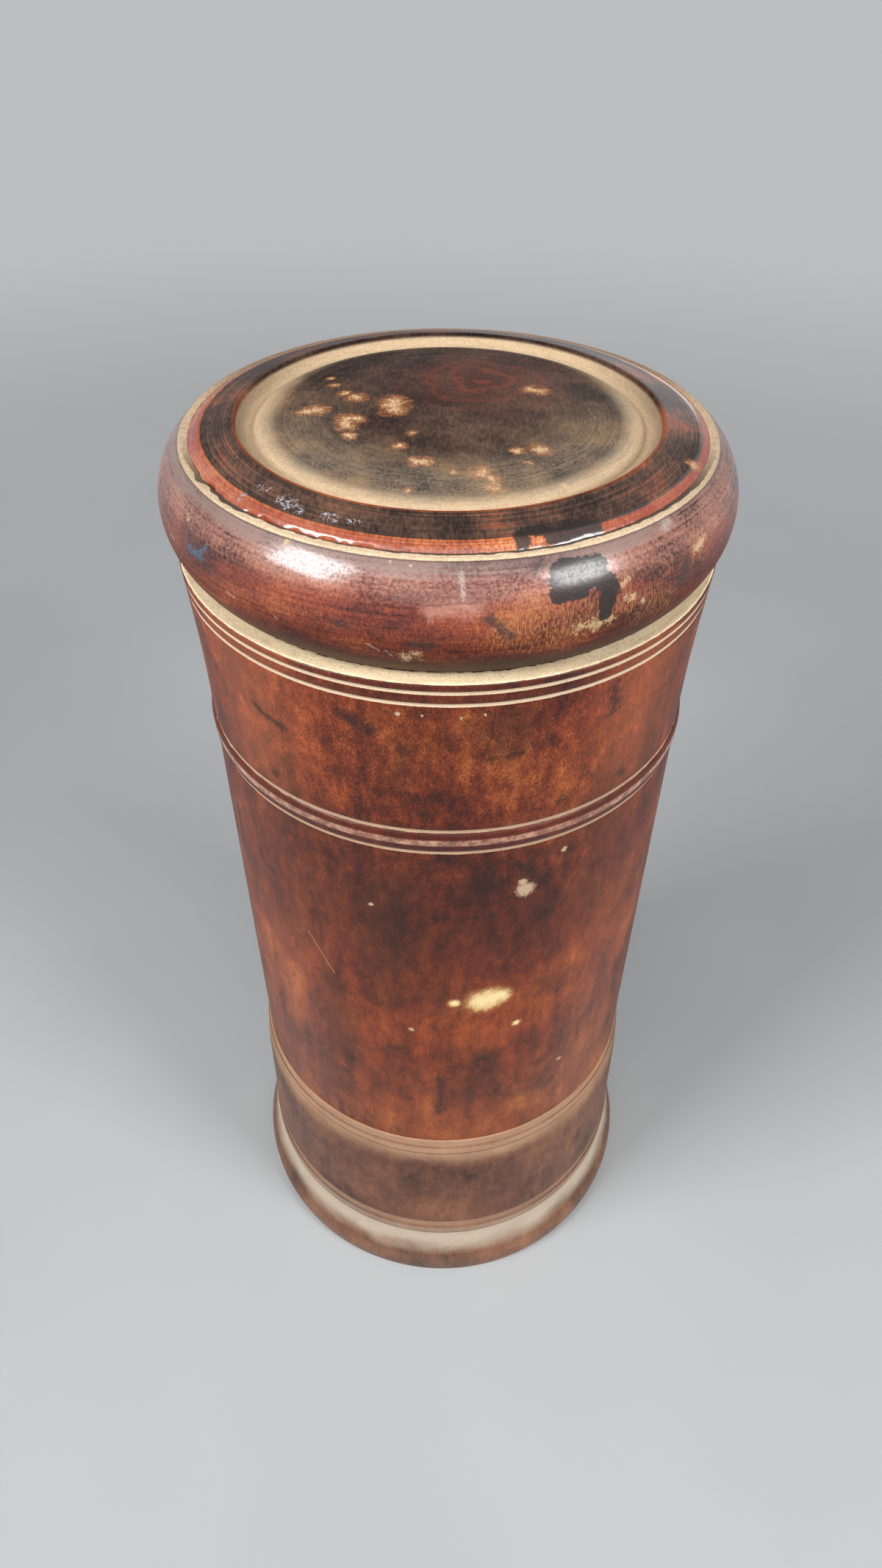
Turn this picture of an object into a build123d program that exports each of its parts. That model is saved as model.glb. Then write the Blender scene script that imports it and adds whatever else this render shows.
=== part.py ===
"""Turned wooden canister with a lift-off lid, about 218 mm tall and 102 mm across its foot.

A barrel, bored right through, stands with a long tenon in a wider turned plinth. A floor disc lies on the
plinth's inner flange, under the end of the tenon. The lid is a half-round ring with a domed panel let into
it, and the panel's lower end is the spigot that drops into the barrel's mouth.

Lengths are in millimetres. The turning axis is +Z, and the origin is the middle of the foot, on the table.
Every outline is a half section in the XZ plane, turned about Z.
"""

import os
from math import sqrt

from build123d import *

# Barrel: the wall above the plinth, nearly straight, with a rim that flares out under the lid.
barrel_diameter = 92.2
barrel_height = 135.8
barrel_wall = 8.0
barrel_swell = 0.4
rim_flare = 1.5
rim_arris = 0.4

# Middle band of the barrel: a bead between two fine grooves, its place measured down from the ledge.
band_drop = 34.8
bead_height = 4.2
bead_stand = 0.5
band_groove_width = 0.9

# Fine lines under the rim, the first measured down from the ledge.
rim_line_count = 2
rim_line_drop = 1.8
rim_line_pitch = 2.4
rim_line_width = 0.8

# Plinth: the wider base that holds the barrel. Small steps lead out to its shoulder and to its foot.
plinth_height = 60.4
step_count = 2
step_out = 0.35
step_height = 2.6
shoulder_out = 0.7
shoulder_height = 8.0
foot_line_height = 21.6
cavetto_out = 1.9
foot_edge_height = 6.6
foot_edge_out = 1.1
foot_edge_under = 0.5

# Joint of barrel and plinth, and the floor disc that lies in it.
tenon_wall = 4.0
glue_gap = 0.1
flange_thickness = 4.0
flange_width = 6.0
floor_thickness = 7.0
floor_clearance = 0.2

# Lid ring: the half-round edge of the lid, which stands on the barrel's ledge.
ledge_show = 3.2
lid_ring_height = 19.2
lid_ring_bulge = 4.8
quirk_width = 1.5

# Lid panel: a sloping border, a cove and a low dome above, a spigot below.
panel_stand = 0.4
panel_arris = 0.3
border_width = 7.7
border_rise = 2.0
cove_width = 2.7
cove_depth = 2.4
dome_edge_width = 2.4
dome_edge_rise = 1.3
dome_crown = 1.2
panel_thickness = 7.0
panel_lap = 3.6
spigot_length = 12.0
spigot_clearance = 0.4
spigot_chamfer = 1.0
spigot_hollow = 2.0

# Radii and heights worked out from the sizes above
barrel_radius = barrel_diameter / 2
bore_radius = barrel_radius - barrel_wall
tenon_radius = bore_radius + tenon_wall
socket_radius = tenon_radius + glue_gap
floor_radius = socket_radius - floor_clearance
flange_radius = floor_radius - flange_width
floor_top = flange_thickness + floor_thickness

ledge_height = plinth_height + barrel_height
band_height = ledge_height - band_drop
band_radius = barrel_radius + barrel_swell
rim_radius = band_radius + rim_flare

lid_foot_radius = rim_radius - ledge_show
quirk_height = ledge_height + lid_ring_height
panel_radius = lid_foot_radius - quirk_width
neck_radius = panel_radius - panel_lap
panel_edge_height = quirk_height + panel_stand
panel_seat_height = panel_edge_height - panel_thickness
spigot_radius = bore_radius - spigot_clearance
spigot_end = ledge_height - spigot_length


def step_points(radius, top):
    """Outline of the small steps that lead out and down from a radius at a height."""
    points = [(radius, top)]
    for step in range(step_count):
        outer = radius + step_out * (step + 1)
        points.append((outer, top - step_height * step))
        points.append((outer, top - step_height * (step + 1)))
    return points


def flare_radius(height):
    """Radius of the barrel above its middle band, on the arc that starts upright there and ends at the rim."""
    span = ledge_height - rim_arris - band_height
    arc_radius = (span**2 + rim_flare**2) / (2 * rim_flare)
    return band_radius + arc_radius - sqrt(arc_radius**2 - (height - band_height) ** 2)


# Barrel
rim_line_heights = [ledge_height - rim_line_drop - rim_line_pitch * line for line in range(rim_line_count)]
rim_line_places = [(flare_radius(height), height) for height in rim_line_heights]
band_groove_reach = (bead_height + band_groove_width) / 2
band_groove_places = [(band_radius, band_height + side * band_groove_reach) for side in (-1, 1)]
tenon_end = floor_top + floor_clearance

with BuildPart() as barrel:
    with BuildSketch(Plane.XZ):
        with BuildLine():
            Polyline(
                (rim_radius, ledge_height - rim_arris),
                (rim_radius - rim_arris, ledge_height),
                (bore_radius, ledge_height),
                (bore_radius, tenon_end),
                (tenon_radius, tenon_end),
                (tenon_radius, plinth_height),
                (barrel_radius, plinth_height),
                (band_radius, band_height),
            )
            TangentArc((band_radius, band_height), (rim_radius, ledge_height - rim_arris), tangent=(0, 1))
        make_face()
    revolve(axis=Axis.Z)
    with BuildSketch(Plane.XZ):
        with Locations((band_radius, band_height)):
            Ellipse(bead_stand, bead_height / 2)
    revolve(axis=Axis.Z)
    with BuildSketch(Plane.XZ):
        with Locations(*rim_line_places):
            Circle(rim_line_width / 2)
        with Locations(*band_groove_places):
            Circle(band_groove_width / 2)
    revolve(axis=Axis.Z, mode=Mode.SUBTRACT)

# Plinth
top_steps = step_points(barrel_radius, plinth_height)
shoulder_top = top_steps[-1]
plinth_radius = shoulder_top[0] + shoulder_out
shoulder_foot = (plinth_radius, shoulder_top[1] - shoulder_height)
foot_steps = step_points(plinth_radius, foot_line_height)
cavetto_top = foot_steps[-1]
cavetto_foot = (cavetto_top[0] + cavetto_out, foot_edge_height)
foot_radius = cavetto_foot[0] + foot_edge_out
foot_bottom = (foot_radius - foot_edge_under, 0)

with BuildPart() as plinth:
    with BuildSketch(Plane.XZ):
        with BuildLine():
            Polyline(*top_steps)
            TangentArc(shoulder_foot, shoulder_top, tangent=(0, 1))
            Line(shoulder_foot, (plinth_radius, foot_line_height))
            Polyline(*foot_steps)
            TangentArc(cavetto_top, cavetto_foot, tangent=(0, -1))
            ThreePointArc(cavetto_foot, (foot_radius, foot_edge_height / 2), foot_bottom)
            Polyline(
                foot_bottom,
                (flange_radius, 0),
                (flange_radius, flange_thickness),
                (socket_radius, flange_thickness),
                (socket_radius, plinth_height),
                (barrel_radius, plinth_height),
            )
        make_face()
    revolve(axis=Axis.Z)

# Floor disc
with BuildPart() as floor_disc:
    with BuildSketch(Plane.XY.offset(flange_thickness)):
        Circle(floor_radius)
    extrude(amount=floor_thickness)

# Lid ring
ring_bore = neck_radius + glue_gap
ring_rebate = panel_radius + glue_gap
ring_widest = (lid_foot_radius + lid_ring_bulge, ledge_height + lid_ring_height / 2)

with BuildPart() as lid_ring:
    with BuildSketch(Plane.XZ):
        with BuildLine():
            ThreePointArc((lid_foot_radius, ledge_height), ring_widest, (lid_foot_radius, quirk_height))
            Polyline(
                (lid_foot_radius, quirk_height),
                (ring_rebate, quirk_height),
                (ring_rebate, panel_seat_height),
                (ring_bore, panel_seat_height),
                (ring_bore, ledge_height),
                (lid_foot_radius, ledge_height),
            )
        make_face()
    revolve(axis=Axis.Z)

# Lid panel
dish_rim = (panel_radius - border_width, panel_edge_height + border_rise)
cove_foot = (dish_rim[0] - cove_width, dish_rim[1] - cove_depth)
dome_edge = (cove_foot[0] - dome_edge_width, cove_foot[1] + dome_edge_rise)
dome_middle = (0, dome_edge[1] + dome_crown)
spigot_rim = spigot_radius - spigot_chamfer

with BuildPart() as lid_panel:
    with BuildSketch(Plane.XZ):
        with BuildLine():
            dome = TangentArc(dome_middle, dome_edge, tangent=(1, 0))
            TangentArc(dome_edge, cove_foot, tangent=dome % 1)
            EllipticalCenterArc((cove_foot[0], dish_rim[1]), cove_width, cove_depth, start_angle=270, arc_size=90)
            Polyline(
                dish_rim,
                (panel_radius - panel_arris, panel_edge_height),
                (panel_radius, panel_edge_height - panel_arris),
                (panel_radius, panel_seat_height),
                (neck_radius, panel_seat_height),
                (neck_radius, ledge_height),
                (spigot_radius, ledge_height),
                (spigot_radius, spigot_end + spigot_chamfer),
                (spigot_rim, spigot_end),
                (0, spigot_end + spigot_hollow),
                dome_middle,
            )
        make_face()
    revolve(axis=Axis.Z)

# Files, one for each piece
os.makedirs("parts", exist_ok=True)
pieces = {
    "barrel": barrel,
    "plinth": plinth,
    "floor_disc": floor_disc,
    "lid_ring": lid_ring,
    "lid_panel": lid_panel,
}
for name, piece in pieces.items():
    piece.part.label = name
    export_step(piece.part, f"parts/{name}.step")
    size = piece.part.bounding_box().size
    print(f"{name}: {size.X:.1f} x {size.Y:.1f} x {size.Z:.1f} mm, {piece.part.volume / 1000:.1f} cm3")
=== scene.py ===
# %% [markdown]
# # A turned wooden canister with a loose lid
#
# Everything on this canister came off a lathe, so each of its five pieces is one outline turned about one
# axis. The lesson draws those outlines, turns them into grids of points with numpy, and dresses each piece in
# a finish made of nodes: stained wood, worn varnish, caked dust, chips and spills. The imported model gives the
# sizes.

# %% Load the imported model
from dataclasses import dataclass
from functools import cached_property

import bpy
import numpy as np
from mathutils import Matrix, Vector


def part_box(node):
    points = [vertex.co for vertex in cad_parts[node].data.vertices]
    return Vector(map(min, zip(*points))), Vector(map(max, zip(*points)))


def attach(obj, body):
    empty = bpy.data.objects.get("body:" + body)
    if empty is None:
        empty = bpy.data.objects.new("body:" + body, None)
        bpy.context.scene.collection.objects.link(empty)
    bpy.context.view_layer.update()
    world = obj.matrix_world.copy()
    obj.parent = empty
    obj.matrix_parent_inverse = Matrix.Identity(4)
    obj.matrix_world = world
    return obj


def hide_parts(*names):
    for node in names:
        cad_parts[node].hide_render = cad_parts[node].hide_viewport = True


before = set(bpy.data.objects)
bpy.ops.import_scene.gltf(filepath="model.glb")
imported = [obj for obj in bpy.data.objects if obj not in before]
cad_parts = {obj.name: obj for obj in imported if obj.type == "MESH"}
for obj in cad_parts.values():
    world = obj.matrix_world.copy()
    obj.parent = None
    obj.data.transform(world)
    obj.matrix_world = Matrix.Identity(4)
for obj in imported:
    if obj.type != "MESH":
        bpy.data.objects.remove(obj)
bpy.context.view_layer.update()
mm = 0.001


def size_of(node):
    """Radius, lowest and highest level of a turned piece, in millimetres."""
    low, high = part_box(node)
    return high.x / mm, low.z / mm, high.z / mm


rim_radius, tenon_end, ledge_height = size_of("barrel")
foot_radius, table_height, joint_height = size_of("plinth")
disc_radius, disc_low, disc_high = size_of("floor_disc")
ring_radius, ring_bottom, quirk_height = size_of("lid_ring")
panel_radius, spigot_end, dome_height = size_of("lid_panel")
print(f"canister {dome_height:.1f} mm tall, {2 * rim_radius:.1f} mm across the rim")

# %% [markdown]
# ## The camera
#
# The camera stands close above the canister and looks down on it, as a phone held in the hand does. It comes
# first, because a stain seen at a pixel of the picture is put on the wood by sending a ray through that
# pixel.

# %% Camera
picture_width = 1200
picture_height = 2133
focal_pixels = 1417
camera_place = np.array([0.0, -171.0, 289.0]) * mm
camera_pitch, camera_yaw, camera_roll = np.radians([42.464, -0.283, 0.411])


def camera_axes(pitch, yaw, roll):
    """Right, down and forward directions of the picture, as columns. The pitch tips the view down from the
    horizon, the roll turns the picture about the line of sight, and the yaw turns everything about Z."""
    right = [np.cos(roll), np.sin(roll) * np.sin(pitch), np.sin(roll) * np.cos(pitch)]
    down = [np.sin(roll), -np.cos(roll) * np.sin(pitch), -np.cos(roll) * np.cos(pitch)]
    forward = [0, np.cos(pitch), -np.sin(pitch)]
    about_z = [[np.cos(yaw), np.sin(yaw), 0], [-np.sin(yaw), np.cos(yaw), 0], [0, 0, 1]]
    return np.array(about_z) @ np.array([right, down, forward]).T


picture_axes = camera_axes(camera_pitch, camera_yaw, camera_roll)


def sight_line(pixel):
    """Direction from the camera through a pixel: the pixel's offset from the picture's middle, and the focal
    length, measured along the picture's own axes."""
    offset = [pixel[0] - picture_width / 2, pixel[1] - picture_height / 2, focal_pixels]
    return picture_axes @ (np.array(offset) / np.linalg.norm(offset))


lens = bpy.data.cameras.new("camera")
lens.sensor_width = 36
lens.lens = lens.sensor_width * focal_pixels / picture_height
lens.clip_start = 10 * mm
camera = bpy.data.objects.new("camera", lens)
bpy.context.scene.collection.objects.link(camera)
camera.matrix_world = Matrix.Translation(camera_place) @ Matrix(picture_axes * [1, -1, -1]).to_4x4()
bpy.context.scene.camera = camera
print(f"lens {lens.lens:.1f} mm, looking down {np.degrees(camera_pitch):.1f} degrees")

# %% [markdown]
# ## Strokes of an outline
#
# A turner works from a half section: radius across, height up. Straight cuts, hollows and rounds follow each
# other, so an outline here is a few strokes joined end to end. All outlines run anticlockwise, which keeps
# the wood on the left and the outside on the right.

# %% Strokes
stroke_points = 48


def straight(*points):
    """Straight cuts from point to point, each point a (radius, height) in millimetres."""
    return np.array(points, float)


def arc_from(start, heading, end):
    """The arc that leaves start along heading and ends at end. With c the chord, h the heading and n its left
    normal, the radius is c.c / 2 c.n, and the arc turns by twice the angle between h and c."""
    start = np.array(start, float)
    ahead = np.array(heading, float) / np.hypot(*heading)
    left = np.array([-ahead[1], ahead[0]])
    chord = np.array(end, float) - start
    radius = chord @ chord / (2 * chord @ left)
    angle = 2 * np.arctan2(chord @ left, chord @ ahead) * np.linspace(0, 1, stroke_points)[:, None]
    return start + radius * (np.sin(angle) * ahead + (1 - np.cos(angle)) * left)


def arc_through(start, middle, end):
    """The arc through three points. The angle at middle, between start and end, fixes the heading at
    start."""
    start, middle, end = np.array([start, middle, end], float)
    to_middle, to_end = middle - start, end - start
    lean = np.arctan2(*(end - middle)[::-1]) - np.arctan2(*to_middle[::-1])
    heading = np.arctan2(*to_end[::-1]) - (lean + np.pi) % (2 * np.pi) + np.pi
    return arc_from(start, (np.cos(heading), np.sin(heading)), end)


def quarter_round(start, end):
    """A quarter of an ellipse that leaves start upright and reaches end level."""
    angle = np.linspace(0, np.pi / 2, stroke_points)
    across, up = np.array(end, float) - start
    return np.array(start) + np.stack([across * (1 - np.cos(angle)), up * np.sin(angle)], axis=1)


print("strokes: straight, arc_from, arc_through, quarter_round")

# %% [markdown]
# ## From an outline to a turned piece
#
# A turned piece is a grid: rows follow the outline, columns go round the axis. Long handling has softened
# every arris, so the outline is first blurred a little along its length. Rows then crowd where the outline
# bends, because a fine groove needs ten rows and a plain wall needs few. A real turning is never quite true,
# so a smooth random field, the same on every run, moves the points by a few hundredths of a millimetre, and
# by more where dust has caked.

# %% Random field
def lattice(cell, seed):
    """A fixed random number from -1 to 1 for each whole-numbered cell, from its three numbers and a seed."""
    mixed = cell[..., 0] * 73856093 ^ cell[..., 1] * 19349663 ^ cell[..., 2] * 83492791 ^ seed * 2654435761
    mixed = (mixed ^ mixed >> 13) * 1274126177 & 0x7FFFFFFF
    return (mixed ^ mixed >> 15) % 65536 / 32767.5 - 1


def ripple(points, size, seed):
    """A smooth random field from -1 to 1, whose bumps are about one size across: the numbers at the eight
    corners of each cell of a cubic lattice, blended along each side by 3t^2 - 2t^3."""
    place = points / size
    cell = np.floor(place).astype(np.int64)
    share = place - cell
    share = share * share * (3 - 2 * share)
    total = np.zeros(points.shape[:-1])
    for corner in np.ndindex(2, 2, 2):
        weight = np.prod(np.where(corner, share, 1 - share), axis=-1)
        total += weight * lattice(cell + np.array(corner), seed)
    return total


def ramp_up(values, low, high):
    """0 below low, 1 above high and 3t^2 - 2t^3 between them. It falls instead where high is below low."""
    share = np.clip((values - low) / (high - low), 0, 1)
    return share * share * (3 - 2 * share)


print("field: ripple, shaped by ramp_up")

# %% The lathe
fine_step = 0.05
columns = 640
row_pitch = 2.0
row_bend = np.radians(16)
hidden_share = 0.2
busy_share = 5.0
sight_start = 80.0
sight_steps = ((400, 1.0), (60, 0.02))


class Turning:
    """A piece off the lathe. The point of row i and column j is (r cos a, r sin a, h), with (r, h) the
    outline's i-th row and a the j-th angle of a full turn. Hidden and busy stretches are boxes of the half
    section, each (least radius, least height, most radius, most height)."""

    def __init__(self, name, strokes, soften, rows=150, hidden=(), busy=(), closed=True):
        outline = np.vstack(strokes)
        if closed:
            outline = np.vstack([outline, outline[:1]])
        self.name = name
        self.closed = closed
        outline = self.blur(self.dense(outline), soften)
        ahead = np.gradient(outline, axis=0)
        facing = np.stack([ahead[:, 1], -ahead[:, 0]], axis=1) / np.linalg.norm(ahead, axis=1)[:, None]
        at = self.pick_rows(outline, rows, hidden, busy)
        run = np.arange(len(outline)) * fine_step
        table = np.column_stack([outline, facing, run])
        picked = np.stack([np.interp(at, np.arange(len(outline)), part) for part in table.T], axis=1)
        self.radius, self.height, face_out, self.face_up, self.run = picked.T[..., None]
        angle = np.arange(columns) * 2 * np.pi / columns
        self.out = np.stack([np.cos(angle), np.sin(angle), 0 * angle], axis=-1)
        self.normal = face_out[..., None] * self.out + self.face_up[..., None] * [0, 0, 1]
        self.points = self.radius[..., None] * self.out + self.height[..., None] * np.array([0, 0, 1])
        self.notes = {}

    @staticmethod
    def dense(outline):
        """The same outline with a point about every fine step."""
        run = np.concatenate([[0], np.cumsum(np.hypot(*np.diff(outline, axis=0).T))])
        at = np.linspace(0, run[-1], int(run[-1] / fine_step))
        return np.stack([np.interp(at, run, side) for side in outline.T], axis=1)

    def blur(self, outline, reach):
        """Each point becomes the mean of its neighbours, weighted by a bell curve of half width reach. A
        closed outline wraps round, and an open one is mirrored in the turning axis."""
        margin = int(4 * reach / fine_step)
        bell = np.exp(-0.5 * (np.arange(-margin, margin + 1) * fine_step / reach) ** 2)
        if self.closed:
            padded = np.vstack([outline[-1 - margin : -1], outline, outline[1 : margin + 1]])
        else:
            head = outline[margin:0:-1] * [-1, 1]
            tail = outline[-2 : -2 - margin : -1] * [-1, 1]
            padded = np.vstack([head, outline, tail])
        return np.stack([np.convolve(side, bell / bell.sum(), "valid") for side in padded.T], axis=1)

    def pick_rows(self, outline, rows, hidden, busy):
        """Places of the rows, evenly spaced in length over the pitch plus bending over the row's bend. Hidden
        stretches get fewer rows and busy ones more."""
        step = np.diff(outline, axis=0)
        heading = np.unwrap(np.arctan2(step[:, 1], step[:, 0]))
        wanted = np.hypot(*step.T) / row_pitch + np.abs(np.gradient(heading)) / row_bend
        middle = (outline[1:] + outline[:-1]) / 2
        for zones, share in ((hidden, hidden_share), (busy, busy_share)):
            for zone in zones:
                wanted[((middle > zone[:2]) & (middle < zone[2:])).all(axis=1)] *= share
        place = np.concatenate([[0], np.cumsum(wanted)])
        return np.interp(np.linspace(0, place[-1], rows + self.closed), place, np.arange(len(outline)))[:rows]

    def inside(self, places):
        """Which places lie in the wood: those with an odd number of the outline's edges outwards of them."""
        reach = np.hypot(places[:, 0], places[:, 1])[:, None]
        level = places[:, 2][:, None]
        radius, height = self.radius[:, 0], self.height[:, 0]
        next_radius, next_height = np.roll(radius, -1), np.roll(height, -1)
        crosses = (height > level) != (next_height > level)
        climb = np.where(next_height == height, 1, next_height - height)
        edge = radius + (level - height) * (next_radius - radius) / climb
        return (crosses & (edge > reach)).sum(1) % 2 == 1

    def land(self, pixel):
        """Where the sight line through a pixel first enters the wood, found in whole millimetres, then
        finer."""
        first = sight_start
        for count, step in sight_steps:
            along = (first + step * np.arange(count))[:, None] * sight_line(pixel) + camera_place / mm
            inside = self.inside(along)
            if not inside.any():
                raise ValueError(f"the sight line through {pixel} misses {self.name}")
            first += step * (np.argmax(inside) - 1)
        return along[np.argmax(inside)]

    def weather(self, *ripples, where=1.0):
        """Moves every point along the outline's own normal by random ripples, each a depth and a size in
        millimetres and a seed. The share where scales them from place to place."""
        depth = sum(depth * ripple(self.points, size, seed) for depth, size, seed in ripples)
        self.points = self.points + (where * depth)[..., None] * self.normal

    def note(self, **values):
        """Keeps a number for each point, which becomes an attribute of the mesh."""
        for name, value in values.items():
            self.notes[name] = np.broadcast_to(value, self.points.shape[:2])

    def build(self, body, node, finish):
        """Makes the object, with its notes as attributes. Each face joins two columns and two rows, wound so
        that it points away from the wood. A closed outline joins its last row to its first, and an open one
        ends in single points on the axis."""
        rows = len(self.points)
        if self.closed:
            order = np.arange(rows * columns)
            ring = order.reshape(rows, columns)
            lower, upper = ring, np.roll(ring, -1, axis=0)
        else:
            order = np.concatenate([[0], np.arange(columns, (rows - 1) * columns), [(rows - 1) * columns]])
            ring = np.arange(1, len(order) - 1).reshape(rows - 2, columns)
            lower, upper = ring[:-1], ring[1:]
        beside = np.roll(ring, -1, axis=1)
        lower_beside, upper_beside = np.roll(lower, -1, axis=1), np.roll(upper, -1, axis=1)
        faces = np.stack([lower, lower_beside, upper_beside, upper], axis=-1).reshape(-1, 4).tolist()
        if not self.closed:
            first, last = np.zeros(columns, int), np.full(columns, len(order) - 1)
            faces += np.stack([first, beside[0], ring[0]], axis=-1).tolist()
            faces += np.stack([ring[-1], beside[-1], last], axis=-1).tolist()
        mesh = bpy.data.meshes.new(self.name)
        mesh.from_pydata(self.points.reshape(-1, 3)[order] * mm, [], faces)
        mesh.shade_smooth()
        for name, value in self.notes.items():
            attribute = mesh.attributes.new(name, "FLOAT", "POINT")
            attribute.data.foreach_set("value", value.ravel()[order].astype(np.float32))
        mesh.materials.append(finish.material)
        piece = bpy.data.objects.new(self.name, mesh)
        bpy.context.scene.collection.objects.link(piece)
        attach(piece, body)
        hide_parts(node)
        print(f"{self.name}: {rows} rows, {len(faces)} faces")


print(f"lathe ready: {columns} columns to a turn")

# %% [markdown]
# ## Writing finishes as sums
#
# A finish is a tree of nodes. Wiring such a tree by hand hides the idea behind it, so a small class wraps a
# socket and lets Python's own plus, minus and times add the Math nodes. Every other node comes from one
# method.

# %% Sockets that add up
class Value:
    """One socket of a node tree. Arithmetic on it adds Math nodes to the tree."""

    def __init__(self, finish, socket):
        self.finish = finish
        self.socket = socket

    def math(self, operation, first, second):
        """Adds one Math node."""
        return self.finish.node("ShaderNodeMath", {"operation": operation}, {0: first, 1: second})

    def __add__(self, other):
        return self.math("ADD", self, other)

    def __sub__(self, other):
        return self.math("SUBTRACT", self, other)

    def __rsub__(self, other):
        return self.math("SUBTRACT", other, self)

    def __mul__(self, other):
        return self.math("MULTIPLY", self, other)

    __radd__ = __add__
    __rmul__ = __mul__

    def at_least(self, other):
        """The larger of the two."""
        return self.math("MAXIMUM", self, other)

    def swing(self, amount):
        """A noise that lies about a half, moved to lie about 0 and made larger by an amount."""
        return (self - 0.5) * amount

    def ease(self, low, high):
        """0 below low, 1 above high and a smooth rise between. It falls instead where high is below low."""
        settings = {"interpolation_type": "SMOOTHSTEP"}
        if low < high:
            return self.finish.node("ShaderNodeMapRange", settings, {0: self, 1: low, 2: high})
        return self.finish.node("ShaderNodeMapRange", settings, {0: self, 1: high, 2: low, 3: 1.0, 4: 0.0})

    def between(self, low, high, soft):
        """1 from low to high, fading to 0 over soft outside them."""
        return self.ease(low - soft, low) * self.ease(high + soft, high)


def paint(red, green, blue):
    """A colour as a screen shows it, from 0 to 255, turned into the linear light that a shader works in."""
    shown = np.array([red, green, blue]) / 255
    linear = np.where(shown > 0.04045, ((shown + 0.055) / 1.055) ** 2.4, shown / 12.92)
    return (*linear.tolist(), 1.0)


print("values can be added, multiplied and eased")

# %% A finish under construction
noise_spread = 0.15


class Finish:
    """A material, or a sky, under construction. Sizes of patterns are in millimetres, and colours are screen
    levels."""

    def __init__(self, name, shelf=bpy.data.materials):
        self.material = shelf.new(name)
        self.material.use_nodes = True
        self.tree = self.material.node_tree
        self.tree.nodes.clear()
        self.place = self.node("ShaderNodeTexCoord", output="Object")

    def node(self, kind, settings=None, inputs=None, output=0):
        """Adds a node of a kind, sets its settings, then its inputs, and returns one of its outputs."""
        made = self.tree.nodes.new(kind)
        for name, value in (settings or {}).items():
            setattr(made, name, value)
        for name, value in (inputs or {}).items():
            if isinstance(value, Value):
                self.tree.links.new(value.socket, made.inputs[name])
            else:
                made.inputs[name].default_value = value
        return Value(self, made.outputs[output])

    def vector(self, operation, first, second=(0, 0, 0), output="Vector"):
        """Vector arithmetic, of which some kinds give a number as their Value."""
        return self.node("ShaderNodeVectorMath", {"operation": operation}, {0: first, 1: second}, output)

    def note(self, name):
        """A number that the lathe noted on every point."""
        return self.node("ShaderNodeAttribute", {"attribute_name": name}, output="Fac")

    @cached_property
    def height(self):
        """Height above the table, in millimetres."""
        return self.node("ShaderNodeSeparateXYZ", None, {0: self.place}, output="Z") * (1 / mm)

    @cached_property
    def flat(self):
        """The place seen from above, as a vector from the axis."""
        return self.vector("MULTIPLY", self.place, (1, 1, 0))

    @cached_property
    def radius(self):
        """Distance from the axis, in millimetres."""
        return self.vector("LENGTH", self.flat, output="Value") * (1 / mm)

    def facing(self, x, y):
        """How far round to a side a place lies: 1 on that side, a half square to it, 0 opposite."""
        way = self.vector("NORMALIZE", self.flat)
        return self.vector("DOT_PRODUCT", way, (x / 2, y / 2, 0), output="Value") + 0.5

    @cached_property
    def front(self):
        """How far round to the front a place lies: 1 in front, a half at the sides, 0 at the back."""
        return self.facing(0, -1)

    def noise(self, size, detail=3.0, rough=0.55, shift=0.0):
        """Cloudy noise from 0 to 1. The size gives its bumps' width along X, Y and Z, or along all three."""
        scale = [1 / (width * mm) for width in np.broadcast_to(size, 3)]
        settings = {"Vector": self.place, "Location": (shift, shift, shift), "Scale": scale}
        return self.cloud(self.node("ShaderNodeMapping", None, settings), detail, rough)

    def cloud(self, vector, detail, rough, output=0):
        """Noise at a place that is scaled already."""
        inputs = {"Vector": vector, "Scale": 1.0, "Detail": detail, "Roughness": rough}
        return self.node("ShaderNodeTexNoise", None, inputs, output)

    def turned_noise(self, across, length, width, radius, detail=3.0, rough=0.55, shift=0.0):
        """Noise drawn out round the axis, as a turner's tool leaves it: its place is the direction from the
        axis, scaled to bumps of one length at a radius, and the way across the turning, scaled to one
        width."""
        reach = radius / length
        along = self.vector("MULTIPLY", self.vector("NORMALIZE", self.flat), (reach, reach, 0))
        up = self.node("ShaderNodeCombineXYZ", None, {2: across * (1 / width) + shift})
        return self.cloud(self.vector("ADD", along, up), detail, rough)

    def shaken(self, reach, size=2.0):
        """The place, moved at random by about a reach. The move changes over bumps of one size."""
        scaled = self.vector("MULTIPLY", self.place, (1 / (size * mm),) * 3)
        jitter = self.vector("SUBTRACT", self.cloud(scaled, 4.0, 0.65, "Color"), (0.5, 0.5, 0.5))
        jitter = self.vector("MULTIPLY", jitter, (reach * mm / noise_spread,) * 3)
        return self.vector("ADD", self.place, jitter)

    def ramp(self, value, low, high, *colours):
        """Colours along a value, evenly spaced from low to high."""
        ramp = self.node("ShaderNodeValToRGB", None, {0: value})
        stops = ramp.socket.node.color_ramp.elements
        for number, place in enumerate(np.linspace(low, high, len(colours))):
            stop = stops[number] if number < 2 else stops.new(place)
            stop.position = place
            stop.color = paint(*colours[number])
        return ramp

    def mix(self, share, under, over):
        """Under where the share is 0, over where it is 1. Each is a value or a colour."""
        under, over = [side if isinstance(side, Value) else paint(*side) for side in (under, over)]
        settings = {"data_type": "RGBA", "clamp_factor": True}
        return self.node("ShaderNodeMix", settings, {0: share, 6: under, 7: over}, output=2)

    def end(self, surface, kind="ShaderNodeOutputMaterial"):
        """Links the surface to the tree's last node."""
        ending = self.tree.nodes.new(kind)
        self.tree.links.new(surface.socket, ending.inputs["Surface"])
        print(f"{self.material.name}: {len(self.tree.nodes)} nodes")
        return self


print("finishes can be written as sums")

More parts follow.
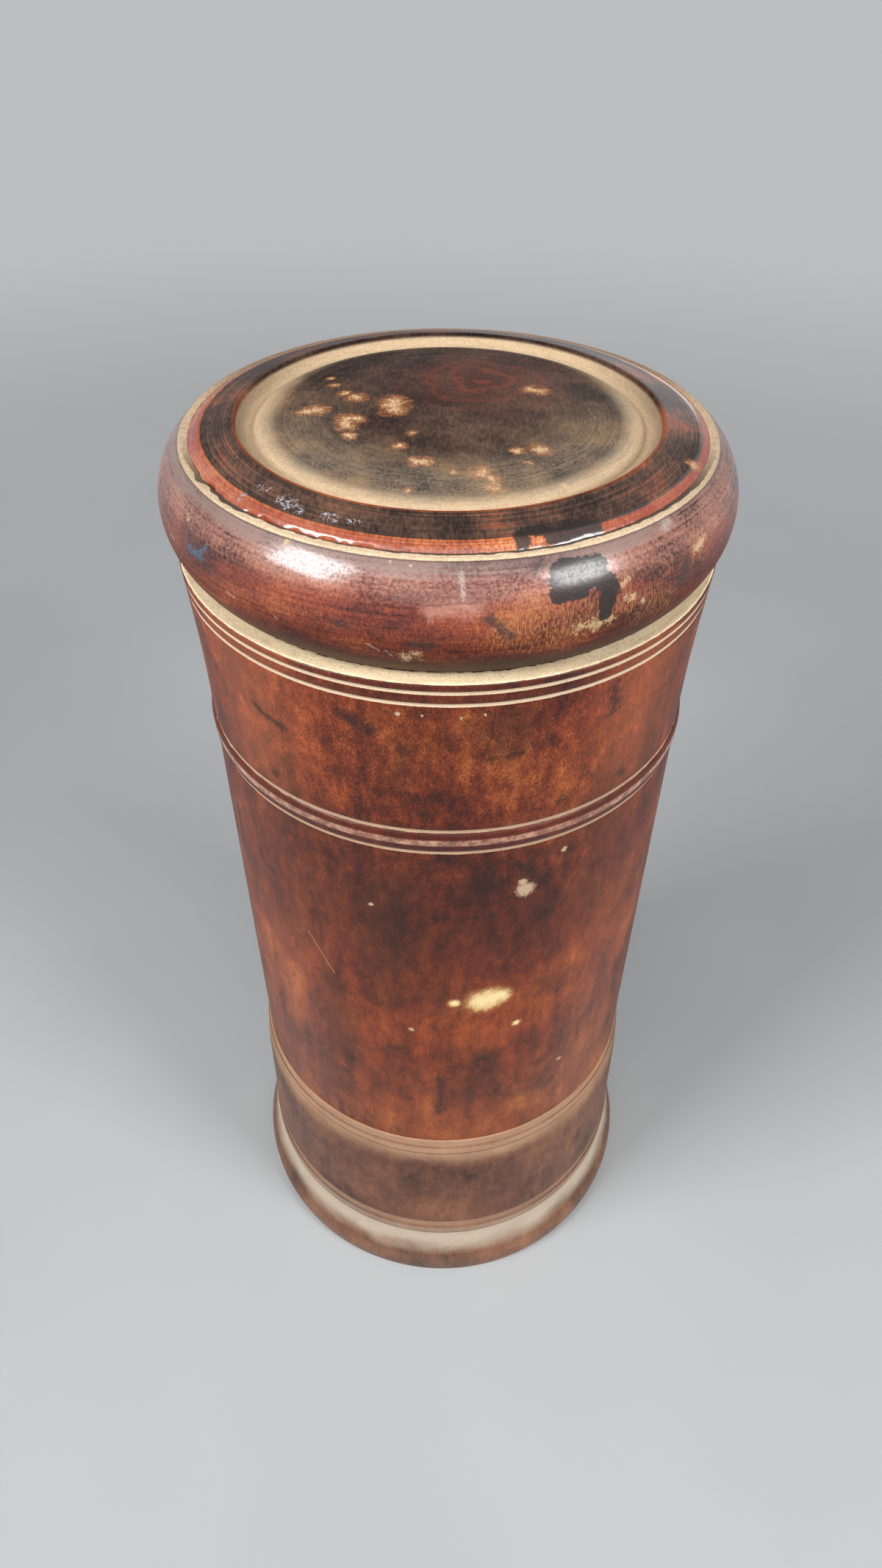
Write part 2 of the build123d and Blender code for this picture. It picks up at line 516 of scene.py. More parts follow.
# %% [markdown]
# Wood is finished as a painter would do it: a colour first, then layers that cover it in part. Each kind of
# mark is a stain, with its tint, its edge and the strokes that draw it. Chips and spills have frayed edges,
# so noise is added to the closeness of a stroke before it is cut off at a level.

# %% Stains and layers
wood_index = 1.45
varnish_roughness = 0.2


@dataclass
class Stain:
    """One kind of mark. The share says how much of its tint covers the wood, fray how much lumps and grains
    break it up, edge the closeness at which it begins and is full, and ragged how many millimetres its edge
    wanders. Each stroke is a reach in millimetres and the pixels of the picture that it passes."""

    tint: tuple
    share: float
    fray: tuple
    edge: tuple
    strokes: list
    ragged: float = 0.3


class WoodFinish(Finish):
    """A finish built up in layers, which keeps the colour so far."""

    colour = None

    def near(self, piece, strokes, ragged):
        """How close a place is to the nearest stroke: 1 on it, falling to 0 at its reach. One pixel makes a
        round spot. The distance to a leg of a stroke is |v - t d|, with v the way from its start, d the leg
        itself, and t the share v.d / d.d, kept from 0 to 1. The place is shaken first, so that no edge is
        smooth."""
        place = self.shaken(ragged)
        closeness = None
        for reach, *pixels in strokes:
            places = [piece.land(pixel) * mm for pixel in pixels]
            for start, end in zip(places[:-1] or places, places[1:] or places):
                offset = self.vector("SUBTRACT", place, start)
                leg = end - start
                if leg.any():
                    share = self.vector("DOT_PRODUCT", offset, leg / (leg @ leg), output="Value")
                    share = self.node("ShaderNodeClamp", None, {0: share})
                    inputs = {0: tuple(leg), "Scale": share}
                    on_leg = self.node("ShaderNodeVectorMath", {"operation": "SCALE"}, inputs)
                    offset = self.vector("SUBTRACT", offset, on_leg)
                distance = self.vector("LENGTH", offset, output="Value")
                near_leg = 1 - distance * (1 / (reach * mm))
                closeness = near_leg.at_least(0.0 if closeness is None else closeness)
        return closeness

    def closeness(self, piece, stain):
        """Closeness to a stain's strokes, frayed by lumps of a millimetre or two and by fine grains."""
        near = self.near(piece, stain.strokes, stain.ragged)
        lumps = self.noise(1.5, detail=4, rough=0.7, shift=41).swing(stain.fray[0])
        grains = self.noise(0.4, detail=2, rough=0.6, shift=53).swing(stain.fray[1])
        return (near + lumps + grains) * near.ease(0.0, 0.2)

    def cover(self, share, over):
        """Lays a layer over the colour so far, by a share."""
        self.colour = self.mix(share, self.colour, over)

    def stain(self, piece, *stains):
        """Lays stains over the colour so far. Gives the last one's place, 1 on it and 0 off it."""
        for stain in stains:
            place = self.closeness(piece, stain).ease(*stain.edge)
            self.cover(place * stain.share, stain.tint)
        return place

    def shine(self, roughness, coat, relief, depth, sheen=0.25, lacquer=1.5):
        """Ends the tree: a varnished surface whose relief, from 0 to 1, is depth millimetres deep. The sheen
        is how strongly the wood reflects, and the lacquer is the varnish's index of refraction."""
        inputs = {"Strength": 1.0, "Distance": depth * mm, "Height": relief}
        bump = self.node("ShaderNodeBump", None, inputs)
        inputs = {"Base Color": self.colour, "Roughness": roughness, "Normal": bump}
        inputs.update({"IOR": wood_index, "Specular IOR Level": sheen})
        inputs.update({"Coat Weight": coat, "Coat Roughness": varnish_roughness, "Coat IOR": lacquer})
        return self.end(self.node("ShaderNodeBsdfPrincipled", None, inputs))


print("stains can be laid over a colour")

# %% [markdown]
# ## Dust, wear and bare wood
#
# Pale dust is the palest thing on the canister. In the grooves, on the ledge and in the quirk it has caked
# hard, with dark crumbs in it. On the mouldings it is only a film that thins out over a few millimetres.
# Where no varnish ever came, the wood is paler and dull.

# %% Shared layers
bare_dark = (104, 68, 43)
bare_light = (172, 124, 80)
crumb_brown = (84, 62, 46)
smear_and_shade_brown = (46, 25, 20)
pore_dark = (48, 22, 15)


def caked_dust(finish, amount, light, dark, crumbs_share):
    """How much caked dust covers the wood, its colour and its grit."""
    lumps = finish.noise(1.4, detail=4, rough=0.7, shift=31)
    grit = finish.noise(0.28, detail=3, rough=0.7, shift=7)
    share = (amount + lumps.swing(0.6) + grit.swing(0.4)).ease(0.3, 0.6)
    colour = finish.ramp(grit * 0.7 + lumps * 0.3, 0.36, 0.6, dark, light)
    crumbs = finish.noise(0.4, detail=4, rough=0.75, shift=57).ease(0.56, 0.66)
    return share, finish.mix(crumbs * crumbs_share, colour, crumb_brown), grit


def bare_wood(finish):
    """Colour of wood that was never varnished, with the lines that the turning tool left."""
    lines = finish.noise((60, 60, 0.7), detail=2, rough=0.5, shift=3)
    figure = finish.noise((5, 5, 30), detail=3, rough=0.6, shift=11)
    return finish.ramp(lines * 0.5 + figure * 0.5, 0.35, 0.62, bare_dark, bare_light)


def standing_wood(finish, reds, ambers, amber_share, crisp):
    """Wood whose grain stands upright: flecks, mottles, streaks and broad clouds, summed and coloured by two
    sets of colours, the amber one where its share is high. Dark pores and smears of old polish lie over it.
    The flecks and pores stand out where crisp is 1 and are worn smooth where it is 0. Gives the flecks,
    streaks and smears."""
    flecks = finish.noise((0.26, 0.26, 0.5), detail=4, rough=0.7)
    mottles = finish.noise((2.2, 2.2, 3.6), detail=5, rough=0.68, shift=47)
    streaks = finish.noise((5, 5, 20), detail=5, rough=0.65, shift=5)
    clouds = finish.noise((20, 20, 26), detail=4, rough=0.62, shift=17)
    tone = 0.47 + flecks.swing(0.9 + crisp * 0.7) + mottles.swing(0.5 + crisp * 0.8)
    tone = tone + streaks.swing(0.9) + clouds.swing(1.2)
    red, amber = [finish.ramp(tone, 0.1, 0.95, *colours) for colours in (reds, ambers)]
    finish.colour = finish.mix(amber_share + clouds.swing(2.0), red, amber)
    pores = finish.noise((0.34, 0.34, 0.7), detail=3, rough=0.65, shift=29).ease(0.56, 0.68)
    finish.cover(pores * (0.3 + crisp * 0.45), pore_dark)
    smears = finish.noise((11, 11, 24), detail=5, rough=0.68, shift=23).ease(0.54, 0.72)
    finish.cover(smears * 0.7, smear_and_shade_brown)
    return flecks, streaks, smears


print("layers: caked dust, bare wood, standing wood")

# %% [markdown]
# ## The barrel
#
# The barrel is the hollow wall of the canister. Its outside is nearly straight and flares a little under the
# lid. A bead between two fine grooves goes round it, and two incised lines follow the rim. The bead and the
# grooves are added to the wall's radius as half rounds, which is shorter than drawing each as strokes. Dust
# has filled the grooves almost to the brim, so they are cut shallow here and coloured by their place.

# %% Barrel outline
rim_flare = 1.5
rim_arris = 0.4
wall_swell = 0.4
wall_thickness = 8.0
tenon_wall = 4.0
ledge_show = 3.2
band_drop = 34.8
bead_height = 4.2
bead_stand = 0.5
band_groove_width = 0.9
rim_line_width = 0.8
rim_line_drops = (1.8, 4.2)
groove_depth = 0.2

band_height = ledge_height - band_drop
band_radius = rim_radius - rim_flare
barrel_radius = band_radius - wall_swell
bore_radius = barrel_radius - wall_thickness
tenon_radius = bore_radius + tenon_wall
ring_foot = rim_radius - ledge_show
groove_reach = (bead_height + band_groove_width) / 2
band_grooves = [(band_height + side * groove_reach, band_groove_width) for side in (-1, 1)]
rim_lines = [(ledge_height - drop, rim_line_width) for drop in rim_line_drops]


def half_round(height, middle, width, depth):
    """An ellipse's upper half over a width about a middle: depth times the root of 1 - (2 (h - m) / w)^2."""
    return depth * np.sqrt(np.clip(1 - (2 * (height - middle) / width) ** 2, 0, 1))


wall_height = np.arange(joint_height, ledge_height - rim_arris, fine_step)
below_band = np.clip((wall_height - joint_height) / (band_height - joint_height), 0, 1)
above_band = np.clip((wall_height - band_height) / (ledge_height - rim_arris - band_height), 0, 1)
wall_radius = barrel_radius + wall_swell * below_band + rim_flare * above_band**2
wall_radius += half_round(wall_height, band_height, bead_height, bead_stand)
for middle, width in band_grooves + rim_lines:
    wall_radius -= half_round(wall_height, middle, width, groove_depth)

barrel_strokes = [
    straight((tenon_radius, tenon_end), (tenon_radius, joint_height)),
    np.column_stack([wall_radius, wall_height]),
    straight((rim_radius - rim_arris, ledge_height), (bore_radius, ledge_height), (bore_radius, tenon_end)),
]
inner_wall = (0, 0, tenon_radius + 0.5, ledge_height - 1)
ledge_edge = (ring_foot - 0.3, ledge_height - 0.5, rim_radius + 1, ledge_height + 1)
barrel = Turning("barrel_turned", barrel_strokes, 0.08, hidden=[inner_wall], busy=[ledge_edge])
on_ledge = ramp_up(barrel.face_up, 0.5, 0.8) * ramp_up(barrel.radius, ring_foot - 0.5, ring_foot)
barrel.weather((0.03, 17, 1), (0.012, 4, 2))
barrel.weather((0.1, 1.6, 3), (0.05, 0.8, 16), where=on_ledge)
print(f"barrel wall {barrel_radius:.1f} to {rim_radius:.1f} mm in radius, bore {bore_radius:.1f} mm")

# %% [markdown]
# The barrel's wear is particular: a cream chip on its front with crumbs beside it, smaller chips, a long
# slanting scratch, a crack, dark marks, and places that still have their old polish.

# %% Barrel marks
cream_chip = Stain((172, 108, 62), share=0.6, ragged=0.15, fray=(0.5, 0.5), edge=(0.02, 0.4), strokes=[
    (5.4, (656, 1362)), (5.2, (668, 1358)), (3.6, (682, 1354)), (2.0, (618, 1365)), (1.5, (702, 1391)),
])
small_chips = Stain((216, 186, 152), share=0.8, ragged=0.15, fray=(0.7, 0.8), edge=(0.25, 0.7), strokes=[
    (3.0, (715, 1210)), (1.6, (712, 1200)), (1.0, (768, 1155)), (0.7, (541, 971)), (0.5, (574, 973)),
    (0.5, (660, 972)), (0.5, (628, 977)), (1.0, (560, 1400)), (1.2, (760, 1440)), (0.8, (505, 1230)),
])
pale_scratch = Stain((196, 130, 80), share=0.55, ragged=0.05, fray=(0.6, 0.9), edge=(0.2, 0.9), strokes=[
    (0.5, (420, 1267), (431, 1285), (443, 1304), (455, 1323)),
])
crack = Stain((44, 24, 18), share=0.5, ragged=0.15, fray=(0.4, 0.4), edge=(0.1, 0.7), strokes=[
    (0.35, (674, 966), (671, 985), (668, 1002), (661, 1020), (655, 1036)),
])
dark_marks = Stain((40, 25, 22), share=0.75, fray=(1.6, 1.2), edge=(0.25, 1.0), strokes=[
    (2.8, (838, 932), (837, 948), (836, 964)), (1.0, (664, 1033), (690, 1029), (714, 1023)),
    (1.8, (348, 960), (366, 976), (384, 990)), (2.6, (845, 1050)), (2.8, (768, 1085)),
    (2.6, (374, 1050)), (2.2, (574, 1108)), (2.0, (600, 1470), (599, 1492), (598, 1514)),
    (3.2, (705, 1176), (738, 1196)), (3.0, (540, 1425)), (2.6, (470, 1455)), (2.8, (655, 1440)),
    (2.4, (760, 1345)), (2.2, (372, 1185)), (2.6, (466, 973), (484, 981), (502, 991)),
])
old_polish = Stain(smear_and_shade_brown, share=0.55, ragged=1.5, fray=(0.8, 0.8), edge=(0.0, 0.9), strokes=[
    (10, (519, 1214), (522, 1284), (526, 1354)), (11, (600, 1362)), (9, (693, 994)), (8, (746, 1338)),
    (9, (453, 1338), (465, 1420)), (8, (468, 1475)), (8, (731, 1475)),
])
barrel_stains = (cream_chip, small_chips, pale_scratch, crack, dark_marks, old_polish)
print(f"{sum(len(stain.strokes) for stain in barrel_stains)} strokes on the barrel")

# %% Barrel finish
barrel_reds = [(46, 15, 10), (110, 40, 20), (160, 66, 31), (208, 110, 58)]
barrel_ambers = [(52, 21, 11), (128, 56, 21), (172, 86, 35), (212, 128, 63)]
rim_red = (78, 28, 20)
crest_highlight_pink = (210, 158, 130)
painted_side_sheen = (192, 112, 72)
painted_low_sheen = (150, 124, 114)
low_dark_brown = (84, 62, 52)
chip_creams = [(212, 164, 108), (250, 224, 166)]
line_dust = (228, 203, 172)
band_dust = (194, 162, 134)
ledge_dust = [(255, 238, 202), (240, 205, 160)]
swept_dust = (186, 148, 108)
lid_shade = (40, 30, 24)

# Heights in millimetres between which each change of the wall begins and is full
amber_levels = (150, 80)
crisp_levels = (110, 165)
painted_sheen_share_levels = (150, 170)
painted_sheen_levels = (90, 140)
painted_front_shade_levels = (130, 160)
low_dark_levels = (115, 70)
veil_levels = (136, band_height - 3)
veil_fade = 22


def barrel_wood(finish):
    """Red-brown wood, more amber low down. Painted shade darkens its front, its sides and its back, and between
    them a painted sheen makes it paler. A band below the bead is darker, more so in front."""
    height, front = finish.height, finish.front
    amber_share = height.ease(*amber_levels) * 0.55 + 0.2
    crisp = height.ease(*crisp_levels)
    flecks, streaks, smears = standing_wood(finish, barrel_reds, barrel_ambers, amber_share, crisp)
    at_rim = height.ease(ledge_height - 5.6, ledge_height - 4.0)
    finish.cover(at_rim * 0.4, rim_red)
    # Painted sheen: between the front and the sides the wood is made paler, more so higher up, in a tint that
    # is greyer low down.
    painted_sheen_share = front.ease(0.97, 0.88) * front.ease(0.7, 0.86) * (0.12 + height.ease(*painted_sheen_share_levels) * 0.2)
    painted_sheen = finish.mix(height.ease(*painted_sheen_levels), painted_low_sheen, painted_side_sheen)
    finish.cover(painted_sheen_share * (0.2 + streaks * 0.6 + flecks), painted_sheen)
    # Painted shade on the sides and the back.
    finish.cover(front.ease(0.8, 0.66) * 0.3, smear_and_shade_brown)
    # A darker band below the bead, more in front, and painted shade on the front, higher up.
    veil = height.between(*veil_levels, veil_fade) * front.ease(0.55, 1.0) * (flecks * 0.5 + 0.3)
    painted_front_shade = front.ease(0.9, 0.995) * height.ease(*painted_front_shade_levels) * 0.4
    finish.cover(veil.at_least(painted_front_shade), smear_and_shade_brown)
    return flecks, streaks, smears


def barrel_marks(finish):
    """Lays the barrel's own marks over its wood, and makes it a little darker low down. Gives the places of the
    dark marks, the cream chip and the small chips."""
    finish.stain(barrel, old_polish)
    finish.cover(finish.height.ease(*low_dark_levels) * 0.2, low_dark_brown)
    dark = finish.stain(barrel, dark_marks)
    finish.stain(barrel, crack)
    near_chip = finish.closeness(barrel, cream_chip)
    finish.cover(near_chip.ease(*cream_chip.edge) * cream_chip.share, cream_chip.tint)
    chip = near_chip.ease(0.25, 0.6)
    finish.cover(chip, finish.ramp(near_chip, 0.35, 0.8, *chip_creams))
    specks = finish.stain(barrel, small_chips)
    finish.stain(barrel, pale_scratch)
    return dark, chip, specks


def barrel_lines(finish, flecks, streaks):
    """Darkens the bead's flanks with painted shade, lays a painted highlight with glints on its crest, and
    fills the grooves with dust. Gives the places of the dust and the crest."""
    height = finish.height
    groove = 0.0
    for middle, width in band_grooves + rim_lines:
        groove = height.between(middle - width / 3, middle + width / 3, 0.18) * 0.9 + groove
    groove = groove * finish.radius.ease(barrel_radius - 1, barrel_radius - 0.6)
    bead = height.between(band_height - bead_height / 2, band_height + bead_height / 2, 0.2)
    crest = height.between(band_height - 0.2, band_height + 0.6, 0.45) * bead
    # Painted shade on the bead's flanks, and a painted highlight with glints on its crest.
    finish.cover((bead - crest) * 0.6, rim_red)
    glints = finish.noise(2.4, detail=4, rough=0.7, shift=71).ease(0.38, 0.66)
    finish.cover(crest * (0.2 + glints * 0.7), crest_highlight_pink)
    in_groove = (groove + flecks.swing(1.1) + streaks.swing(0.5)).ease(0.3, 0.8)
    dust = finish.mix(height.ease(band_height + 4, band_height + 8), band_dust, line_dust)
    finish.cover(in_groove * 0.92, dust)
    return in_groove, crest


def ledge_layer(finish):
    """Cakes the ledge with dust, browner where it is swept thin, and darkens the line under the lid. Gives
    the dust's place and its grit."""
    radius = finish.radius
    ledge = finish.height.ease(ledge_height - 0.35, ledge_height - 0.1)
    ledge = ledge * radius.ease(ring_foot - 0.5, ring_foot - 0.1)
    crumbs_share = finish.front.ease(0.85, 0.99) * 0.35 + 0.12
    caked, dust, grit = caked_dust(finish, ledge, *ledge_dust, crumbs_share)
    swept = finish.turned_noise(radius, 9, 1.1, rim_radius, detail=4, rough=0.65, shift=8).ease(0.5, 0.68)
    finish.cover(caked, finish.mix(swept * 0.22, dust, swept_dust))
    under_lid = radius + finish.noise(1.5, detail=4, rough=0.7, shift=61).swing(1.2)
    finish.cover(under_lid.ease(ring_foot + 0.35, ring_foot) * caked, lid_shade)
    return caked, grit


def barrel_finish():
    """Red-brown stain under worn varnish, with marks, dust in its lines, a caked ledge and a bare inside."""
    finish = WoodFinish("barrel_finish")
    flecks, streaks, smears = barrel_wood(finish)
    dark, chip, specks = barrel_marks(finish)
    in_groove, crest = barrel_lines(finish, flecks, streaks)
    caked, grit = ledge_layer(finish)
    bare = finish.radius.ease(ring_foot, ring_foot - 0.5)
    finish.cover(bare, bare_wood(finish))

    dull = caked + in_groove + chip + specks * 0.6 + bare
    roughness = 0.42 + smears * 0.1 + flecks * 0.12 + dull * 0.4
    coat = (1 - dull).ease(0, 1) * (0.15 + crest * 0.75)
    relief = flecks * 0.25 + caked * grit * 0.8 - chip * 0.6 - dark * 0.1
    return finish.shine(roughness, coat, relief, depth=0.18)


barrel.build("base", "barrel", barrel_finish())

# %% [markdown]
# ## The plinth
#
# The plinth is a wider turning that the barrel stands in. Small steps lead out to a shoulder, a plain band
# follows, more steps lead to a hollow moulding (a cavetto), and the foot ends in a rounded edge. The same
# lathe makes it. Dust lies on each step and fills the cavetto, so its film follows the height.

# %% Plinth outline
step_out = 0.35
step_height = 2.6
step_count = 2
shoulder_out = 0.7
shoulder_height = 8.0
foot_line_height = 21.6
foot_edge_height = 6.6
foot_edge_out = 1.1
foot_edge_under = 0.5
flange_width = 6.0
glue_gap = 0.1

flange_radius = disc_radius - flange_width
socket_radius = tenon_radius + glue_gap
shoulder_top = (barrel_radius + step_count * step_out, joint_height - step_count * step_height)
plinth_radius = shoulder_top[0] + shoulder_out
shoulder_foot = (plinth_radius, shoulder_top[1] - shoulder_height)
cavetto_top = (plinth_radius + step_count * step_out, foot_line_height - step_count * step_height)
cavetto_foot = (foot_radius - foot_edge_out, foot_edge_height)
foot_bottom = (foot_radius - foot_edge_under, table_height)


def steps_in(radius, height):
    """Small steps that lead up and in from a radius at a height."""
    points = []
    for step in range(step_count):
        points.append((radius - step_out * step, height + step_height * step))
        points.append((radius - step_out * step, height + step_height * (step + 1)))
    return straight(*points)


plinth_strokes = [
    straight((flange_radius, table_height)),
    arc_through(foot_bottom, (foot_radius, foot_edge_height / 2), cavetto_foot),
    arc_from(cavetto_top, (0, -1), cavetto_foot)[::-1],
    steps_in(*cavetto_top),
    arc_from(shoulder_foot, (0, 1), shoulder_top),
    steps_in(*shoulder_top),
    straight((socket_radius, joint_height), (socket_radius, disc_low), (flange_radius, disc_low)),
]
plinth = Turning("plinth_turned", plinth_strokes, 0.1, hidden=[(0, -1, tenon_radius + 1, joint_height + 1)])
plinth.weather((0.03, 15, 4), (0.012, 4, 5))
print(f"plinth {plinth_radius:.1f} mm in radius, foot {foot_radius:.1f} mm")

# %% Plinth finish
plinth_browns = [(54, 30, 22), (98, 58, 42), (126, 78, 56), (150, 98, 72)]
plinth_tans = [(58, 34, 22), (110, 66, 44), (138, 88, 58), (164, 112, 78)]
film_tan = (198, 158, 127)
film_cream = (208, 190, 168)
plinth_amber = 0.4
plinth_crisp = 0.1


def dust_film(height, patches):
    """How thick the dust lies on the plinth: on the shoulder, in the hollow moulding, on the foot lines and,
    thin, on the foot's edge. Each step's edge is rubbed to a darker line."""
    uneven = height + patches.swing(3)
    shoulder = uneven.ease(shoulder_top[1] - 9, shoulder_top[1] + 2)
    hollow = uneven.ease(foot_edge_height - 3, foot_edge_height + 7)
    amount = shoulder * height.ease(joint_height + 0.3, joint_height) * 0.68
    amount = amount.at_least(hollow * height.ease(foot_line_height + 0.4, foot_line_height) * 0.5)
    amount = amount.at_least(hollow * height.ease(cavetto_top[1] + 0.5, cavetto_top[1] - 0.5) * 0.82)
    amount = amount.at_least(height.ease(foot_edge_height + 6, foot_edge_height - 2) * 0.22)
    for top in (joint_height, foot_line_height):
        for step in range(1, step_count + 1):
            edge = top - step_height * step
            amount = amount * (1 - height.between(edge - 0.1, edge + 0.1, 0.2) * 0.45)
    return amount


def plinth_finish():
    """The barrel's stain, greyer from handling near the table, with a film of dust on its mouldings."""
    finish = WoodFinish("plinth_finish")
    height = finish.height
    flecks, _, smears = standing_wood(finish, plinth_browns, plinth_tans, plinth_amber, plinth_crisp)
    patches = finish.noise((11, 11, 6), detail=3, rough=0.55, shift=37)
    grit = finish.noise(0.5, detail=2, rough=0.6, shift=43)
    film = (dust_film(height, patches) * (0.5 + patches * 0.7 + grit * 0.3)).ease(0.05, 0.95)
    tan = height.ease(foot_line_height - 6, foot_line_height)
    finish.cover(film, finish.mix(tan, film_cream, film_tan))
    bare = finish.radius.ease(socket_radius + 1.2, socket_radius + 0.6).at_least(height.ease(0.3, 0.05))
    finish.cover(bare, bare_wood(finish))

    dull = film + bare
    roughness = 0.46 + smears * 0.1 + flecks * 0.1 + dull * 0.35
    coat = (1 - dull).ease(0, 1) * 0.2
    return finish.shine(roughness, coat, flecks * 0.25 + film * grit * 0.5, depth=0.14)


plinth.build("base", "plinth", plinth_finish())

# %% [markdown]
# ## The floor disc
#
# A plain disc closes the bore. It shows only with the lid off, deep down, so a bare turned surface is enough.

# %% Floor disc
disc_strokes = [straight((0, disc_low), (disc_radius, disc_low), (disc_radius, disc_high), (0, disc_high))]
disc_under = (-1, disc_low - 1, disc_radius + 1, disc_high - 1)
floor_disc = Turning("floor_disc_turned", disc_strokes, 0.3, rows=60, hidden=[disc_under], closed=False)
floor_disc.weather((0.05, 6, 7), where=ramp_up(floor_disc.face_up, 0.5, 0.9))
disc_shade = (84, 58, 42)


def disc_finish():
    """Bare wood with the rings that the turning tool left, darker towards the wall."""
    finish = WoodFinish("floor_disc_finish")
    rings = finish.turned_noise(finish.radius, 80, 0.8, 20, detail=3)
    figure = finish.noise((40, 4, 4), detail=4, rough=0.6)
    finish.colour = finish.ramp(rings * 0.45 + figure * 0.55, 0.35, 0.62, bare_dark, bare_light)
    finish.cover(finish.radius.ease(30, 39) * 0.6, disc_shade)
    return finish.shine(0.75 + rings * 0.1, 0.0, rings, depth=0.1)


floor_disc.build("base", "floor_disc", disc_finish())

# %% [markdown]
# ## The lid's ring
#
# The lid's edge is one fat half round. Its widest line stands out past the barrel's rim, and its top ends in
# a quirk, the little flat channel between it and the panel, now full of dirt. A grid turned from one arc
# gives the shape. Shrinking wood has pulled the panel's edge away from the filler in the quirk along a jagged
# line, so a random ripple round the axis, shared by both pieces, says where that line runs.

# %% Ring outline
panel_lap = 3.6
panel_thickness = 7.0
panel_stand = 0.4

ring_middle = (ledge_height + quirk_height) / 2
panel_seat = quirk_height + panel_stand - panel_thickness
neck_radius = panel_radius - panel_lap
ring_bore = neck_radius + glue_gap
ring_rebate = panel_radius + glue_gap

ring_strokes = [
    straight((ring_bore, ring_bottom)),
    arc_through((ring_foot, ring_bottom), (ring_radius, ring_middle), (ring_foot, quirk_height)),
    straight((ring_rebate, quirk_height), (ring_rebate, panel_seat), (ring_bore, panel_seat)),
]
ring_inside = (0, 0, ring_rebate + 0.05, quirk_height - 0.2)
quirk_floor = (ring_rebate, quirk_height - 0.2, ring_foot + 0.2, quirk_height + 1)
lid_ring = Turning("lid_ring_turned", ring_strokes, 0.12, hidden=[ring_inside], busy=[quirk_floor])


def jagged(out):
    """How far the jagged lip stands out past the panel's plain edge: three ripples round the axis, the
    coarsest strong only on the left of the front, where the filler broke away in steps, and a little more at
    the sides."""
    round_edge = out * panel_radius
    coarse = ramp_up(-out[..., 0], 0.0, 0.35) * ramp_up(-out[..., 1], 0.2, 0.7)
    sides = ramp_up(np.abs(out[..., 0]), 0.6, 0.95)
    jag = (0.1 + 0.3 * coarse) * ripple(round_edge, 2.4, 11)
    jag = jag + (0.1 + 0.08 * coarse) * ripple(round_edge, 1.1, 12)
    return jag + 0.06 * ripple(round_edge, 0.6, 20) + 0.12 - 0.17 * coarse + 0.4 * sides


in_quirk = ramp_up(lid_ring.face_up, 0.6, 0.9) * ramp_up(lid_ring.radius, ring_foot, ring_foot - 0.3)
lid_ring.weather((0.04, 18, 8), (0.012, 3, 9))
lid_ring.weather((0.1, 1.2, 10), (0.05, 0.6, 17), where=in_quirk)
lid_ring.note(track=lid_ring.run, jag=jagged(lid_ring.out))
print(f"ring {ring_radius:.1f} mm in radius, standing on a ledge that shows {ledge_show} mm")

# %% [markdown]
# The ring is what hands hold, so it has the most marks: a black spill with a drip, a tide line where
# something wet dried, a blue smear, rubbed and chipped places, scuffs, and the small rings of drops.

# %% Ring marks
black_spill = Stain((34, 32, 33), share=0.93, ragged=0.22, fray=(0.5, 0.4), edge=(0.28, 0.4), strokes=[
    (3.4, (767, 790), (797, 783)), (2.6, (764, 776), (812, 770)), (2.2, (760, 808), (788, 802)),
    (2.6, (823, 791), (831, 800)), (2.3, (829, 806), (826, 820)), (1.5, (825, 824), (823, 837)),
])
brown_smears = Stain((52, 38, 35), share=0.8, fray=(1.6, 1.2), edge=(0.2, 1.0), strokes=[
    (2.0, (726, 773), (733, 767)), (1.8, (666, 845), (679, 854), (692, 865)), (1.6, (558, 876), (584, 878)),
    (2.4, (933, 768), (928, 786)), (1.3, (455, 846), (468, 852)),
])
tide_line = Stain((70, 40, 34), share=0.5, ragged=0.15, fray=(0.8, 0.8), edge=(0.1, 1.0), strokes=[
    (0.35, (530, 806), (552, 818), (576, 824), (638, 821), (672, 812), (706, 801)),
])
tide_shade = Stain((104, 56, 46), share=0.5, ragged=0.6, fray=(0.8, 0.8), edge=(0.0, 1.2), strokes=[
    (3.0, (548, 808), (600, 814), (650, 806)),
])
pink_sheen = Stain((214, 160, 142), share=0.5, ragged=0.6, fray=(0.8, 0.8), edge=(0.0, 1.2), strokes=[
    (2.2, (586, 833), (648, 829)),
])
blue_smear = Stain((60, 104, 134), share=0.75, fray=(1.2, 2.4), edge=(0.25, 1.0), strokes=[
    (1.1, (257, 745), (266, 752), (271, 759)), (1.1, (271, 759), (278, 746)),
])
cream_patches = Stain((220, 188, 142), share=0.75, fray=(2.0, 1.6), edge=(0.4, 1.0), strokes=[
    (2.4, (788, 853), (806, 850), (826, 843)), (2.0, (552, 893), (566, 892)), (1.2, (388, 736)),
    (0.6, (532, 765)), (0.6, (559, 769)), (1.1, (842, 797), (857, 784)), (1.1, (850, 815), (862, 811)),
    (1.0, (875, 818)), (1.3, (256, 706)), (1.6, (945, 748), (958, 732)),
])
pale_scuffs = Stain((206, 192, 180), share=0.55, ragged=0.15, fray=(1.0, 1.6), edge=(0.3, 1.2), strokes=[
    (0.45, (501, 876), (516, 885)), (0.45, (524, 885), (532, 892)), (1.0, (629, 780), (630, 812)),
    (1.8, (903, 717), (909, 708)), (0.4, (372, 836), (378, 842)), (0.4, (310, 806), (318, 812)),
    (0.4, (232, 726), (238, 734)),
])
ring_stains = (
    black_spill, brown_smears, tide_line, tide_shade, pink_sheen, blue_smear, cream_patches, pale_scuffs,
)
rubbed_places = [
    (8, (700, 850), (735, 850), (768, 847), (796, 834)), (4, (845, 795)), (5, (850, 820), (890, 812)),
    (5, (950, 742)), (4, (905, 770)), (6, (872, 828), (905, 816)),
]
drop_rings = [(1.1, (424, 773)), (1.0, (395, 778)), (0.9, (451, 786)), (0.9, (372, 776))]
print(f"{sum(len(stain.strokes) for stain in ring_stains)} strokes on the ring")

